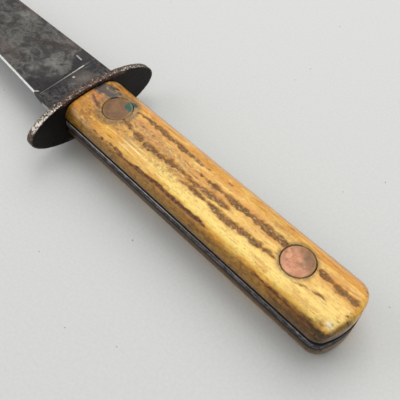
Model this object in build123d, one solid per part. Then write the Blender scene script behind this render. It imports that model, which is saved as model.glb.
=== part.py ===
from build123d import *
import math
import os

# Fixed-blade knife with a full tang, an oval guard and two riveted grip scales.
# Millimetres. The origin is the middle of the tang's way through the guard's front
# face. +X runs to the blade's tip, +Y to its cutting edge, +Z out of the mark side.

# Blade
STEEL_THICKNESS = 5.3           # at the ricasso, the unground part in front of the guard
EDGE_SIDE_Y = 11.6              # the ricasso's side towards the cutting edge
SPINE_Y = -12.55                # the spine, where it meets the guard
SPINE_SLOPE = 0.018             # dy/dx of the spine's straight stretch
BLADE_TIP_X = 126.0
HEEL_X = 16.6                   # where the sharpened edge begins
EDGE_SLOPE = -0.06              # dy/dx of the straight stretch of the edge
BELLY_X = 85.0                  # where the straight edge turns into the belly's arc
BELLY_RADIUS = 110.0
BELLY_TURN = 40.0               # degrees that the belly's cutters turn, past the tip
CLIP_X = 82.0                   # where the straight spine turns into the clip
CLIP_HOLLOW = 0.8               # how far the clip's curve is hollowed below a straight line
TAPER_START_X = 15.0
FLAT_TAPER = 0.0104             # loss of thickness on each face, per mm towards the tip

# Ground bevels
EDGE_HALF_THICKNESS = 0.35      # behind the sharpened edge
GRIND_WIDTH = 20.0              # from the edge to the grind line at full thickness
PLUNGE_TOP_X = 11.7             # the plunge at the flat, on the edge side
PLUNGE_SPINE_SHIFT = 1.8        # how much further forward it is on the spine side
PLUNGE_BLEND_RADIUS = 9.0       # hollow where the plunge runs out into the bevel
SHARPENED_WIDTH = 1.0
EDGE_LAND = 0.05                # half the thickness of the worn edge itself

# Tang
TANG_THICKNESS = 2.9
TANG_EDGE_Y = 11.85
TANG_SPINE_Y = -11.3
SHOULDER_X = -0.4               # the blade's shoulders sit in the guard's inlet

# Guard
GUARD_THICKNESS = 2.4
GUARD_HALF_LENGTH = 24.55
GUARD_HALF_HEIGHT = 9.3
GUARD_OFFSET_Y = 0.5            # the plate stands out a little more on the edge side
GUARD_EDGE_ROUND = 0.55
SLOT_HALF_HEIGHT = 1.5
INLET_HALF_HEIGHT = 2.75
SLOT_CLEARANCE = 0.1            # at the ends of the slot and of the inlet

# Handle
GRIP_EDGE_Y = 12.0
GRIP_SPINE_Y = -11.6
BUTT_X = -106.8
BUTT_RADIUS = 20.5              # the butt's bulging end, in plan
BUTT_MIDDLE_Y = 1.0
BUTT_CORNER_RADIUS = 1.9
SCALE_CROWN_Z = 8.0             # the top of a scale, along the knife's middle
CROWN_DROP = 1.3                # from there to the sides, before the shoulders are rounded
SPINE_SHOULDER_RADIUS = 8.4
EDGE_SHOULDER_RADIUS = 4.0
BUTT_ROUND = 2.0                # of the scales' upper edge round the butt
BUTT_ROUND_TOP_Z = 8.15         # above the crown, so the rounding meets it in a soft edge

# Rivets
RIVET_XS = {"front": -14.3, "rear": -86.9}
HEAD_RADIUS = 9.525 / 2         # 3/8 inch heads
HEAD_TOP_Z = 7.85
HEAD_THICKNESS = 1.4
HEAD_ROUND = 0.3
COUNTERBORE_GAP = 0.3
TUBE_RADIUS = 2.4
TUBE_HOLE_RADIUS = 2.45
TUBE_BORE_RADIUS = 1.62
SHANK_RADIUS = 1.6
TUBE_END_GAP = 0.15             # between the tube's end and the other half's head
SHANK_END_GAP = 0.5             # between the shank's end and the bottom of its bore

REACH = 60.0                    # of the cutting solids, well past the knife

# The edge in plan: a straight stretch from the heel, then the arc of the belly.
EDGE_ANGLE = math.degrees(math.atan(EDGE_SLOPE))
HEEL = Vector(HEEL_X, EDGE_SIDE_Y)
BELLY_START = HEEL + Vector(1, EDGE_SLOPE) * (BELLY_X - HEEL_X)
BELLY_CENTRE = BELLY_START + Vector(0, -BELLY_RADIUS).rotate(Axis.Z, EDGE_ANGLE)
TIP_RISE = math.sqrt(BELLY_RADIUS**2 - (BLADE_TIP_X - BELLY_CENTRE.X) ** 2)
BLADE_TIP = Vector(BLADE_TIP_X, BELLY_CENTRE.Y + TIP_RISE)


def prism(outline, low_z, high_z):
    """A solid with its outline in plan, between two heights."""
    return extrude(Plane.XY.offset(low_z) * make_face(outline), high_z - low_z)


def both_faces(cutter):
    """A cutter for the mark side, and its reflection for the pile side."""
    return cutter + mirror(cutter, Plane.XY)


def blade_blank():
    """The blade's outline in full thickness, before any grinding."""
    spine_back = Vector(SHOULDER_X, SPINE_Y)
    edge_back = Vector(SHOULDER_X, EDGE_SIDE_Y)
    clip_start = Vector(CLIP_X, SPINE_Y + SPINE_SLOPE * CLIP_X)
    clip_middle = (clip_start + BLADE_TIP) * 0.5 + Vector(0, CLIP_HOLLOW)
    tip_angle = math.atan2(TIP_RISE, BLADE_TIP_X - BELLY_CENTRE.X)
    middle_angle = (tip_angle + math.radians(90 + EDGE_ANGLE)) / 2
    belly_middle = BELLY_CENTRE + Vector(math.cos(middle_angle), math.sin(middle_angle)) * BELLY_RADIUS
    outline = Curve() + [
        Line(spine_back, clip_start),
        ThreePointArc(clip_start, clip_middle, BLADE_TIP),
        ThreePointArc(BLADE_TIP, belly_middle, BELLY_START),
        Line(BELLY_START, HEEL),
        Line(HEEL, edge_back),
        Line(edge_back, spine_back),
    ]
    return prism(outline, -STEEL_THICKNESS / 2, STEEL_THICKNESS / 2)


def tang():
    """The full-width tang, a little thinner than the ricasso."""
    outline = grip_outline(TANG_EDGE_Y, TANG_SPINE_Y, SHOULDER_X)
    return prism(outline, -TANG_THICKNESS / 2, TANG_THICKNESS / 2)


def distal_taper():
    """What the grinder takes off the flats as the steel thins towards the tip."""
    start_z = STEEL_THICKNESS / 2
    end_x = BLADE_TIP_X + REACH
    end_z = start_z - FLAT_TAPER * (end_x - TAPER_START_X)
    section = Polyline(
        (TAPER_START_X, start_z),
        (end_x, end_z),
        (end_x, REACH),
        (TAPER_START_X, REACH),
        close=True,
    )
    return extrude(Plane.XZ * make_face(section), REACH, both=True)


def along_edge(section):
    """A cutter's section carried back along the straight edge and on round the belly.

    The section is drawn with x as the distance in from the edge, and y as height.
    """
    back = Vector(-1, 0).rotate(Axis.Z, EDGE_ANGLE)
    inward = Vector(0, -1).rotate(Axis.Z, EDGE_ANGLE)
    face = Plane(origin=BELLY_START, x_dir=inward, z_dir=back) * make_face(section)
    straight = extrude(face, BELLY_X)
    belly = revolve(face, Axis((BELLY_CENTRE.X, BELLY_CENTRE.Y, 0), (0, 0, -1)), BELLY_TURN)
    return straight, belly


def plunge_plane():
    """The sloping wall at the back of a bevel, which comes down to the heel."""
    high = STEEL_THICKNESS / 2
    edge_side = Vector(PLUNGE_TOP_X, EDGE_SIDE_Y, high)
    spine_side = Vector(PLUNGE_TOP_X + PLUNGE_SPINE_SHIFT, SPINE_Y, high)
    to_heel = HEEL - edge_side
    return Plane(origin=edge_side, z_dir=to_heel.cross(spine_side - edge_side) * -1)


def bevel():
    """What the grinder takes off to make the mark side's bevel and its plunge."""
    slope = (STEEL_THICKNESS / 2 - EDGE_HALF_THICKNESS) / GRIND_WIDTH
    outside = -6.0
    inside = GRIND_WIDTH + 6.0
    top = REACH / 4
    section = Polyline(
        (outside, EDGE_HALF_THICKNESS + slope * outside),
        (inside, EDGE_HALF_THICKNESS + slope * inside),
        (inside, top),
        (outside, top),
        close=True,
    )
    straight, belly = along_edge(section)
    straight = split(straight, bisect_by=plunge_plane(), keep=Keep.TOP)
    foot_of_plunge = straight.edges().filter_by(
        lambda edge: edge.length > GRIND_WIDTH
        and edge.bounding_box().max.X < HEEL_X + PLUNGE_BLEND_RADIUS
        and edge.bounding_box().max.Z < STEEL_THICKNESS
    )
    return fillet(foot_of_plunge, PLUNGE_BLEND_RADIUS) + belly


def sharpening():
    """What the stone takes off both sides to make the narrow sharpened edge."""
    far = 3.0
    section = Polyline(
        (-far, -far),
        (SHARPENED_WIDTH, -far),
        (SHARPENED_WIDTH, -EDGE_HALF_THICKNESS - 0.1),
        (0, -EDGE_LAND),
        (0, EDGE_LAND),
        (SHARPENED_WIDTH, EDGE_HALF_THICKNESS + 0.1),
        (SHARPENED_WIDTH, far),
        (-far, far),
        close=True,
    )
    straight, belly = along_edge(section)
    behind_heel = Plane(origin=HEEL, z_dir=Vector(1, 0).rotate(Axis.Z, EDGE_ANGLE))
    return split(straight, bisect_by=behind_heel, keep=Keep.TOP) + belly


def blade():
    ground = blade_blank() - both_faces(distal_taper()) - both_faces(bevel()) - sharpening()
    steel = ground + tang()
    for x in RIVET_XS.values():
        steel -= Pos(x, 0, 0) * Cylinder(TUBE_HOLE_RADIUS, REACH)
    return steel


def guard():
    """An oval plate with a slot for the tang and a shallow inlet for the shoulders."""
    oval = Plane.YZ * Pos(GUARD_OFFSET_Y, 0) * Ellipse(GUARD_HALF_LENGTH, GUARD_HALF_HEIGHT)
    plate = extrude(oval, -GUARD_THICKNESS)
    plate = fillet(plate.edges(), GUARD_EDGE_ROUND)
    slot = crosswise_box(GUARD_THICKNESS, 0, TANG_SPINE_Y, TANG_EDGE_Y, SLOT_HALF_HEIGHT)
    inlet = crosswise_box(-SHOULDER_X, REACH, SPINE_Y, EDGE_SIDE_Y, INLET_HALF_HEIGHT)
    return plate - slot - inlet


def crosswise_box(behind, ahead, spine_y, edge_y, half_height):
    """A box across the guard, from behind its front face to ahead of it."""
    width = edge_y - spine_y + 2 * SLOT_CLEARANCE
    middle = Pos((ahead - behind) / 2, (edge_y + spine_y) / 2, 0)
    return middle * Box(ahead + behind, width, 2 * half_height)


def grip_outline(edge_y, spine_y, front_x):
    """The grip in plan: straight sides, and a butt that bulges between round corners."""
    centre_x = BUTT_X + BUTT_RADIUS

    def butt_corner(y):
        return Vector(centre_x - math.sqrt(BUTT_RADIUS**2 - (y - BUTT_MIDDLE_Y) ** 2), y)

    butt_edge = butt_corner(edge_y)
    butt_spine = butt_corner(spine_y)
    sides = Polyline(butt_edge, (front_x, edge_y), (front_x, spine_y), butt_spine)
    end = ThreePointArc(butt_spine, (BUTT_X, BUTT_MIDDLE_Y), butt_edge)
    face = make_face(Curve() + [sides, end])
    corners = face.vertices().filter_by(lambda vertex: vertex.X < centre_x)
    return fillet(corners, BUTT_CORNER_RADIUS).face().outer_wire()


def scale_section():
    """A scale's cross-section: a low crown, and a round shoulder down to the tang each side."""
    side_top_z = SCALE_CROWN_Z - CROWN_DROP
    sides = Polyline(
        (GRIP_SPINE_Y, side_top_z),
        (GRIP_SPINE_Y, -SCALE_CROWN_Z),
        (GRIP_EDGE_Y, -SCALE_CROWN_Z),
        (GRIP_EDGE_Y, side_top_z),
    )
    crown = ThreePointArc(sides @ 1, (0, SCALE_CROWN_Z), sides @ 0)
    face = make_face(Curve() + [sides, crown])
    face = fillet(face.vertices().group_by(Axis.Y)[-1].sort_by(Axis.X)[-1], EDGE_SHOULDER_RADIUS)
    face = fillet(face.vertices().sort_by_distance(sides @ 0)[0], SPINE_SHOULDER_RADIUS)
    below_tang = Pos(0, (TANG_THICKNESS - REACH) / 2) * Rectangle(REACH, REACH)
    return face - below_tang


def butt_rounding():
    """What rounds a scale's upper edge round the butt: a ring with a hollow inner corner."""
    inside = BUTT_RADIUS - BUTT_ROUND
    outside = BUTT_RADIUS + BUTT_ROUND
    low = BUTT_ROUND_TOP_Z - BUTT_ROUND
    high = BUTT_ROUND_TOP_Z + BUTT_ROUND
    foot = Vector(BUTT_RADIUS, low)
    top = Vector(inside, BUTT_ROUND_TOP_Z)
    outline = Curve() + [
        Polyline(foot, (outside, low), (outside, high), (inside, high), top),
        RadiusArc(top, foot, BUTT_ROUND),
    ]
    ring = revolve(Plane.XZ * make_face(outline), Axis.Z)
    butt_half = split(ring, bisect_by=Plane.YZ, keep=Keep.BOTTOM)
    return Pos(BUTT_X + BUTT_RADIUS, BUTT_MIDDLE_Y, 0) * butt_half


def scale():
    """A grip scale, drawn on the mark side, with its rivet holes and counterbores."""
    section = Plane.YZ.offset(-GUARD_THICKNESS) * scale_section()
    bar = extrude(section, BUTT_X)
    plan = prism(grip_outline(GRIP_EDGE_Y, GRIP_SPINE_Y, -GUARD_THICKNESS), 0, REACH)
    grip = (bar & plan) - butt_rounding()
    floor_z = HEAD_TOP_Z - HEAD_THICKNESS
    for x in RIVET_XS.values():
        grip -= Pos(x, 0, 0) * Cylinder(TUBE_HOLE_RADIUS, REACH)
        grip -= Pos(x, 0, floor_z + REACH / 2) * Cylinder(HEAD_RADIUS + COUNTERBORE_GAP, REACH)
    return grip


def rivet_head():
    """A flat round head with its rim eased, its top at the mark side's height."""
    middle_z = HEAD_TOP_Z - HEAD_THICKNESS / 2
    head = Pos(0, 0, middle_z) * Cylinder(HEAD_RADIUS, HEAD_THICKNESS)
    return fillet(head.edges().group_by(Axis.Z)[-1], HEAD_ROUND)


def rivet_female():
    """The half with the tube, whose head is on the mark side."""
    under_head_z = HEAD_TOP_Z - HEAD_THICKNESS
    tube_length = 2 * under_head_z - TUBE_END_GAP
    tube_middle_z = under_head_z - tube_length / 2
    tube = Pos(0, 0, tube_middle_z) * Cylinder(TUBE_RADIUS, tube_length)
    bore = Pos(0, 0, tube_middle_z) * Cylinder(TUBE_BORE_RADIUS, tube_length)
    return rivet_head() + (tube - bore)


def rivet_male():
    """The half with the solid shank, whose head is on the pile side."""
    under_head_z = HEAD_TOP_Z - HEAD_THICKNESS
    shank_length = 2 * under_head_z - SHANK_END_GAP
    shank = Pos(0, 0, shank_length / 2 - under_head_z) * Cylinder(SHANK_RADIUS, shank_length)
    return mirror(rivet_head(), Plane.XY) + shank


def main():
    nodes = {
        "blade": blade(),
        "guard": guard(),
        "mark_side_scale": scale(),
        "pile_side_scale": mirror(scale(), Plane.XY),
    }
    for place, x in RIVET_XS.items():
        nodes[f"{place}_rivet_female"] = Pos(x, 0, 0) * rivet_female()
        nodes[f"{place}_rivet_male"] = Pos(x, 0, 0) * rivet_male()
    os.makedirs("parts", exist_ok=True)
    for name, shape in nodes.items():
        export_step(shape, f"parts/{name}.step")


main()
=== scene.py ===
import itertools
import math
from collections import namedtuple

import bmesh
import bpy
import numpy as np
from mathutils import Matrix, Vector


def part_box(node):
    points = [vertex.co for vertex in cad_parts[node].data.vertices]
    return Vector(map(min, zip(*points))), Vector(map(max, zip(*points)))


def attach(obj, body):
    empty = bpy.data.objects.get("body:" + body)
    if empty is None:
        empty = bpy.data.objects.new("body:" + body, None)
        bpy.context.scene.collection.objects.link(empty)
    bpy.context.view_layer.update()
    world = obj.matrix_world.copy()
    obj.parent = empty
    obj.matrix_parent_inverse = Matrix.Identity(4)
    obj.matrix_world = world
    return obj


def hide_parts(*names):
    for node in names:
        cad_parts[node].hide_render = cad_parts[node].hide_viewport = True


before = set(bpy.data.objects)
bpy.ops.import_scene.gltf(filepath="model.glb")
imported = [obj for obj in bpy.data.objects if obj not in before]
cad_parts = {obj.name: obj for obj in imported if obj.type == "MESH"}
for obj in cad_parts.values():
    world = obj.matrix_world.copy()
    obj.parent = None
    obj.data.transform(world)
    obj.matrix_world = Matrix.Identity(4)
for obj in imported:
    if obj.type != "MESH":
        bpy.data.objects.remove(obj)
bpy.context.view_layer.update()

# Lengths are in millimetres in the knife's own frame until a mesh is made: +X to the
# blade's tip, +Y to its cutting edge, +Z out of the mark side.
MM = 0.001


def corners(node):
    """A node's lowest and highest corners, in millimetres."""
    low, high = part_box(node)
    return np.array(low) / MM, np.array(high) / MM


BLADE_LOW, BLADE_HIGH = corners("blade")
GUARD_LOW, GUARD_HIGH = corners("guard")
SCALE_LOW, SCALE_HIGH = corners("mark_side_scale")

# Grip scales, beyond what their box gives
GRIP_SPINE_Y = -11.6
CROWN_DROP = 1.3
SPINE_SHOULDER = 8.4
EDGE_SHOULDER = 4.0
BUTT_RADIUS = 20.5
BUTT_MIDDLE_Y = 1.0
BUTT_CENTRE_X = SCALE_LOW[0] + BUTT_RADIUS
BUTT_ROUND = 2.0
FRONT_ROUND = 0.2
SCALE_GRID = (430, 120, 20)      # faces along, across and up each wall
RAY_START = 7.0                 # in from the sides, where the rays that find the surface start
FOOT_INSETS = {"mark": 1.0, "pile": 0.15}       # how far each scale is worn back beside the tang

# Blade
STEEL_HALF = BLADE_HIGH[2]
TANG_HALF = SCALE_LOW[2]
TANG_SPINE_Y = -11.3
TANG_CORNER = 1.9
RICASSO_EDGE_Y = 11.6
SPINE_SLOPE = 0.018
SHOULDER_X = -0.4
HEEL_X = 16.6
EDGE_SLOPE = -0.06
BELLY_X = 85.0
BELLY_RADIUS = 110.0
CLIP_X = 82.0
CLIP_HOLLOW = 0.8
TAPER_START_X = 15.0
FLAT_TAPER = 0.0104
GRIND_WIDTH = 20.0
GRIND_EDGE_HALF = 0.35
SHARPENED_WIDTH = 1.0
BRIGHT_WIDTH = 0.65             # the freshly honed part of it
EDGE_HALF = 0.05
PLUNGE_X = 11.7                 # on the edge side
PLUNGE_SHIFT = 1.8              # how much further forward on the spine side
PLUNGE_SLOPE = 0.54
PLUNGE_BLEND = 1.5
CREASE_BLEND = 0.12

# Guard
GUARD_ROUND = 0.3
SLOT_HALF_HEIGHT = 1.5
INLET_HALF_HEIGHT = 2.75
INLET_DEPTH = -SHOULDER_X
SLOT_CLEARANCE = 0.1

# Rivets
HEAD_THICKNESS = 1.4
HEAD_ROUND = 0.3
COUNTERBORE_GAPS = {"front": 0.2, "rear": 0.27}
TUBE_RADIUS = 2.4
TUBE_HOLE_RADIUS = 2.45
TUBE_BORE_RADIUS = 1.62
SHANK_RADIUS = 1.6
SHANK_BEVEL = 0.2

# Clean-up after cutting
SAME_POINT = 0.004
NO_LENGTH = 0.001


# ---- numbers over the surface


def lattice(cell, seed):
    """A repeatable random number, 0 to 1, for each whole-numbered cell of space."""
    mixed = cell[:, 0] * 374761393 + cell[:, 1] * 668265263 + cell[:, 2] * 1440670441 + seed * 1274126177
    mixed &= 0xFFFFFFFF
    mixed = ((mixed ^ (mixed >> 13)) * 1274126177) & 0xFFFFFFFF
    return ((mixed ^ (mixed >> 16)) & 0xFFFF) / 0xFFFF


def noise(points, size, seed):
    """Smooth noise, -1 to 1, whose features are about that size, one number or three."""
    place = points / np.asarray(size, dtype=float)
    cell = np.floor(place).astype(np.int64)
    part = place - cell
    part = part * part * (3 - 2 * part)
    total = np.zeros(len(points))
    for corner in itertools.product((0, 1), repeat=3):
        weight = np.prod(np.where(corner, part, 1 - part), axis=1)
        total += weight * lattice(cell + np.array(corner), seed)
    return 2 * total - 1


def rough(points, size, seed, octaves=3):
    """Noise with finer and fainter layers of itself added."""
    size = np.asarray(size, dtype=float)
    total = np.zeros(len(points))
    reach = 0.0
    for octave in range(octaves):
        total += noise(points, size / 2**octave, seed + octave) / 2**octave
        reach += 1 / 2**octave
    return total / reach


def ease(value, start, end):
    """0 at start, 1 at end and smooth between them; start may be the larger."""
    share = np.clip((value - start) / (end - start), 0, 1)
    return share * share * (3 - 2 * share)


def spot(points, x, y, long_radius, cross_radius):
    """A soft spot in plan, 1 at its middle."""
    return np.exp(-(((points[:, 0] - x) / long_radius) ** 2) - ((points[:, 1] - y) / cross_radius) ** 2)


def strongest(*layers):
    """The largest of several fields at each point."""
    return np.maximum.reduce(layers)


def spots(points, marks):
    """The strongest of several spots, each (strength, x, y, long radius, cross radius)."""
    return strongest(*(strength * spot(points, *where) for strength, *where in marks))


def within(value, limits):
    """A length as a share of its limits, which is how a field stores it for Look.length."""
    return (value - limits[0]) / (limits[1] - limits[0])


def rounded(a, b, radius):
    """How far a point is outside two solids' common part, their shared edge rounded off."""
    inside = np.minimum(np.maximum(a, b), -radius)
    return inside + np.hypot(np.maximum(a + radius, 0), np.maximum(b + radius, 0))


def outermost(outside, starts, directions, reach=1.0, rounds=26):
    """How far along each ray from inside a solid its surface is, by halving."""
    near = np.zeros(len(starts))
    far = np.full(len(starts), float(reach))
    for _ in range(rounds):
        middle = (near + far) / 2
        out = outside(starts + directions * middle[:, None]) > 0
        far = np.where(out, middle, far)
        near = np.where(out, near, middle)
    return near


# ---- making pieces


def make_mesh(name, points, faces):
    """A mesh from millimetre points, shaded smooth."""
    mesh = bpy.data.meshes.new(name)
    mesh.from_pydata((points * MM).tolist(), [], faces)
    mesh.update()
    mesh.shade_smooth()
    return mesh


def mesh_points(mesh):
    """A mesh's points in millimetres."""
    flat = np.empty(3 * len(mesh.vertices))
    mesh.vertices.foreach_get("co", flat)
    return flat.reshape(-1, 3) / MM


def add_object(name, mesh):
    piece = bpy.data.objects.new(name, mesh)
    bpy.context.scene.collection.objects.link(piece)
    return piece


def cut_away(mesh, name, cutter_meshes):
    """The mesh less its cutters, as a new mesh."""
    body = add_object(name + "_whole", mesh)
    cutters = [add_object(name + "_cutter", cutter) for cutter in cutter_meshes]
    for cutter in cutters:
        modifier = body.modifiers.new("cut", "BOOLEAN")
        modifier.object = cutter
        modifier.operation = "DIFFERENCE"
        modifier.solver = "MANIFOLD"
    graph = bpy.context.evaluated_depsgraph_get()
    result = bpy.data.meshes.new_from_object(body.evaluated_get(graph))
    shape = bmesh.new()
    shape.from_mesh(result)
    bmesh.ops.remove_doubles(shape, verts=shape.verts, dist=SAME_POINT * MM)
    bmesh.ops.dissolve_degenerate(shape, edges=shape.edges, dist=NO_LENGTH * MM)
    shape.to_mesh(result)
    shape.free()
    for leftover in [body, *cutters]:
        bpy.data.objects.remove(leftover)
    return result


def finish_piece(name, mesh, material, node, fields):
    """An object that stands for a CAD node, with its material and the fields that it reads."""
    for field, values in fields.items():
        attribute = mesh.attributes.new(field, "FLOAT", "POINT")
        attribute.data.foreach_set("value", np.clip(values, 0, 1).astype(np.float32))
    mesh.materials.clear()
    mesh.materials.append(material)
    piece = add_object(name, mesh)
    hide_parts(node)
    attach(piece, "root")


def lathe(profile, segments, centre_x):
    """Points and faces turned about an upright axis, from (radius, z) points that start and end on it."""
    turns = np.linspace(0, 2 * math.pi, segments, endpoint=False)
    (_, top), *rings, (_, bottom) = profile
    points = [[[centre_x, 0, top]]]
    for radius, z in rings:
        across, along = radius * np.cos(turns), radius * np.sin(turns)
        points.append(np.column_stack([centre_x + across, along, np.full(segments, z)]))
    points.append([[centre_x, 0, bottom]])
    faces = (np.array(loop_faces(segments, len(rings), closed=False)) + 1).tolist()
    end = 1 + segments * len(rings)
    last = end - segments
    for k in range(segments):
        after = (k + 1) % segments
        faces += [(0, 1 + k, 1 + after), (last + k, end, last + after)]
    return np.concatenate(points), faces


def turned_cutter(x, steps, segments=128):
    """A cutter for a stepped round hole, from (radius, z) corners, the top one first."""
    return make_mesh("cutter", *lathe([(0, steps[0][1]), *steps, (0, steps[-1][1])], segments, x))


def loop_faces(count, loops, closed):
    """The quads between successive loops of points; closed joins the last loop to the first."""
    faces = []
    for loop in range(loops if closed else loops - 1):
        here = loop * count
        there = (loop + 1) % loops * count
        for k in range(count):
            after = (k + 1) % count
            faces.append((here + k, there + k, there + after, here + after))
    return faces


def wear_down(mesh, points, depth):
    """Moves a mesh's points inward, each by its depth in millimetres."""
    normals = np.empty(points.size)
    mesh.vertices.foreach_get("normal", normals)
    worn = points - normals.reshape(-1, 3) * depth[:, None]
    mesh.vertices.foreach_set("co", (worn * MM).ravel())
    mesh.update()


def turn_over(mesh):
    """Mirrors a mark side's mesh to the pile side."""
    mesh.transform(Matrix.Scale(-1, 4, Vector((0, 0, 1))))
    mesh.flip_normals()


# ---- material building


def paint(red, green, blue):
    """A colour from the 0 to 255 values that a screen shows."""
    def linear(value):
        share = value / 255
        return share / 12.92 if share <= 0.04045 else ((share + 0.055) / 1.055) ** 2.4

    return (linear(red), linear(green), linear(blue), 1.0)


class Value:
    """A number over a material's surface. Arithmetic on it adds nodes."""

    def __init__(self, look, socket):
        self.look = look
        self.socket = socket

    def maths(self, operation, other):
        node = self.look.tree.nodes.new("ShaderNodeMath")
        node.operation = operation
        return self.look.wired(node, {0: self, 1: other}, "Value")

    def __add__(self, other):
        return self.maths("ADD", other)

    def __sub__(self, other):
        return self.maths("SUBTRACT", other)

    def __mul__(self, other):
        return self.maths("MULTIPLY", other)

    def or_more(self, other):
        """The larger of two."""
        return self.maths("MAXIMUM", other)

    def ramp(self, low, high, top=1.0, bottom=0.0):
        """From bottom at low to top at high, smooth between and held beyond them."""
        node = self.look.tree.nodes.new("ShaderNodeMapRange")
        node.interpolation_type = "SMOOTHSTEP"
        inputs = {"Value": self, "From Min": low, "From Max": high, "To Min": bottom, "To Max": top}
        return self.look.wired(node, inputs, "Result")

    def band(self, low, high, soft):
        """1 from low to high, fading over soft on both sides."""
        return self.ramp(low - soft, low) * self.ramp(high, high + soft, 0.0, 1.0)


class Look:
    """A material being built, with its colour so far. Colours are given as 0 to 255 values."""

    def __init__(self, name):
        self.material = bpy.data.materials.new(name)
        self.material.use_nodes = True
        self.tree = self.material.node_tree
        self.shader = self.tree.nodes["Principled BSDF"]
        self.colour = None

    def put(self, value, socket):
        """A link into a socket, or a constant set on it."""
        if isinstance(value, Value):
            self.tree.links.new(value.socket, socket)
        else:
            socket.default_value = value

    def wired(self, node, inputs, output):
        """A node's output, once its inputs are linked or set."""
        for name, value in inputs.items():
            self.put(value, node.inputs[name])
        return Value(self, node.outputs[output])

    def __getitem__(self, name):
        """One of the fields stored over a piece's surface."""
        node = self.tree.nodes.new("ShaderNodeAttribute")
        node.attribute_name = name
        return self.wired(node, {}, "Fac")

    def length(self, name, limits):
        """A field that was stored as a share of its limits, in millimetres again."""
        return self[name] * (limits[1] - limits[0]) + limits[0]

    def grain(self, size, detail=3.0, roughness=0.6, distortion=0.0):
        """A noise texture whose features have that size in millimetres along X, Y and Z."""
        nodes = self.tree.nodes
        place = self.wired(nodes.new("ShaderNodeTexCoord"), {}, "Object")
        scale = [1 / (length * MM) for length in size]
        place = self.wired(nodes.new("ShaderNodeMapping"), {"Vector": place, "Scale": scale}, "Vector")
        settings = {"Scale": 1.0, "Detail": detail, "Roughness": roughness, "Distortion": distortion}
        return self.wired(nodes.new("ShaderNodeTexNoise"), {"Vector": place, **settings}, "Fac")

    def mix(self, share, a, b):
        """Two colours mixed by a share."""
        node = self.tree.nodes.new("ShaderNodeMix")
        node.data_type = "RGBA"
        a, b = (paint(*colour) if isinstance(colour, tuple) else colour for colour in (a, b))
        return self.wired(node, {0: share, 6: a, 7: b}, 2)

    def cover(self, share, colour):
        """Another colour laid over the colour so far."""
        self.colour = self.mix(share, self.colour, colour)

    def relief(self, height, depth):
        """Fine relief in the shader: height is 0 to 1, depth in millimetres."""
        node = self.tree.nodes.new("ShaderNodeBump")
        inputs = {"Strength": 1.0, "Distance": depth * MM, "Height": height}
        self.put(self.wired(node, inputs, "Normal"), self.shader.inputs["Normal"])

    def finished(self, inputs):
        """The material, once the shader has its colour and its other inputs."""
        for name, value in {"Base Color": self.colour, **inputs}.items():
            self.put(value, self.shader.inputs[name])
        return self.material


# ---- grip scales

# A furrow of the natural surface. At distances behind the guard's front face, its run gives its
# girth, the way round the scale from its middle towards the edge side, and cut gives how well it
# is marked. A gritty one has a rough floor; the others are smooth brown stains.
Furrow = namedtuple("Furrow", "run cut width depth gritty", defaults=[True])

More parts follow.
